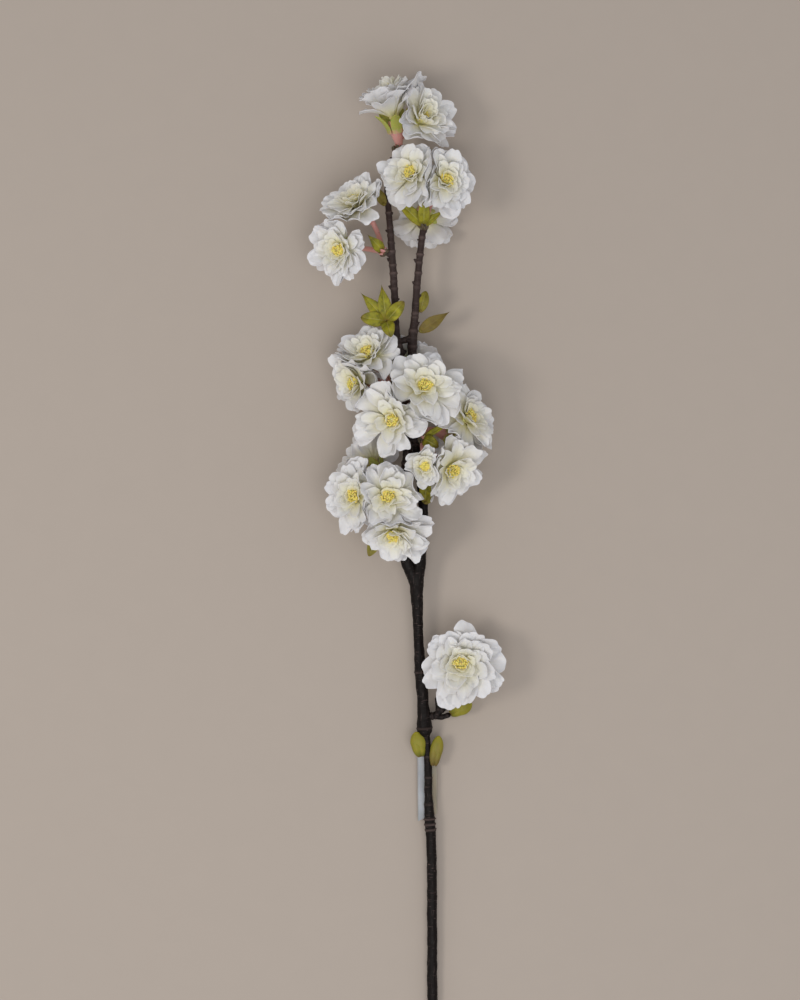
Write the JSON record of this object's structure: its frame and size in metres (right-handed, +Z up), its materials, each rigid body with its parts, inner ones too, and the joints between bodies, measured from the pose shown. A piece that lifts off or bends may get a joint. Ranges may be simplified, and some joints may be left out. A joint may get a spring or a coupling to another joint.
{
  "type": "cherry blossom sprig",
  "caption": "Cut sprig of double white cherry blossom lying on its side: a forked ringed twig with clustered frilly flowers, olive buds and young leaves.",
  "frame": {"origin": "on the surface that the sprig lies on, under the middle of its bounding box", "axes": "+Y along the branch, from its cut end towards the flowering tips; +Z up, towards the side that shows most flowers; +X to the right of someone who looks down at it with the tips away from them"},
  "size_m": [0.1138, 0.599, 0.0592],
  "materials": {
    "bark": "very dark brown bark, ringed and knobbly, with a slight sheen",
    "petal": "thin white petals, ivory towards the eye, matt and a little see-through",
    "stamen": "bright yellow anthers on pale threads, matt",
    "calyx": "dusty pink stalks and cups that turn green at the sepals, satin",
    "leaf": "thick olive to yellow-green young leaves and buds with brown tinges, satin",
    "paper": "blank pale grey paper, satin"
  },
  "bodies": {
    "root": {"branch": "bark", "umbel_top": "calyx", "umbel_right_tip": "calyx", "umbel_left": "calyx", "umbel_middle_left": "calyx", "umbel_middle_front": "calyx", "umbel_middle_right": "calyx", "umbel_low": "calyx", "umbel_single": "calyx", "leaf_upper_left": "leaf", "leaf_tuft": "leaf", "leaf_right_small": "leaf", "leaf_right_large": "leaf", "leaf_low_right": "leaf", "bud_beside_bloom": "leaf", "bud_left": "leaf", "bud_right": "leaf", "bloom_top_left_petals": "petal", "bloom_top_left_stamens": "stamen", "bloom_top_right_petals": "petal", "bloom_top_right_stamens": "stamen", "bloom_tip_left_petals": "petal", "bloom_tip_left_stamens": "stamen", "bloom_tip_right_petals": "petal", "bloom_tip_right_stamens": "stamen", "bloom_tip_under_petals": "petal", "bloom_tip_under_stamens": "stamen", "bloom_left_low_petals": "petal", "bloom_left_low_stamens": "stamen", "bloom_left_high_petals": "petal", "bloom_left_high_stamens": "stamen", "bloom_middle_1_petals": "petal", "bloom_middle_1_stamens": "stamen", "bloom_middle_2_petals": "petal", "bloom_middle_2_stamens": "stamen", "bloom_middle_under_petals": "petal", "bloom_middle_under_stamens": "stamen", "bloom_middle_3_petals": "petal", "bloom_middle_3_stamens": "stamen", "bloom_middle_4_petals": "petal", "bloom_middle_4_stamens": "stamen", "bloom_middle_5_petals": "petal", "bloom_middle_5_stamens": "stamen", "bloom_middle_6_petals": "petal", "bloom_middle_6_stamens": "stamen", "bloom_middle_7_petals": "petal", "bloom_middle_7_stamens": "stamen", "bloom_middle_small_petals": "petal", "bloom_middle_small_stamens": "stamen", "bloom_low_1_petals": "petal", "bloom_low_1_stamens": "stamen", "bloom_low_2_petals": "petal", "bloom_low_2_stamens": "stamen", "bloom_low_3_petals": "petal", "bloom_low_3_stamens": "stamen", "bloom_low_4_petals": "petal", "bloom_low_4_stamens": "stamen", "bloom_single_petals": "petal", "bloom_single_stamens": "stamen", "label": "paper"}
  },
  "joints": []
}
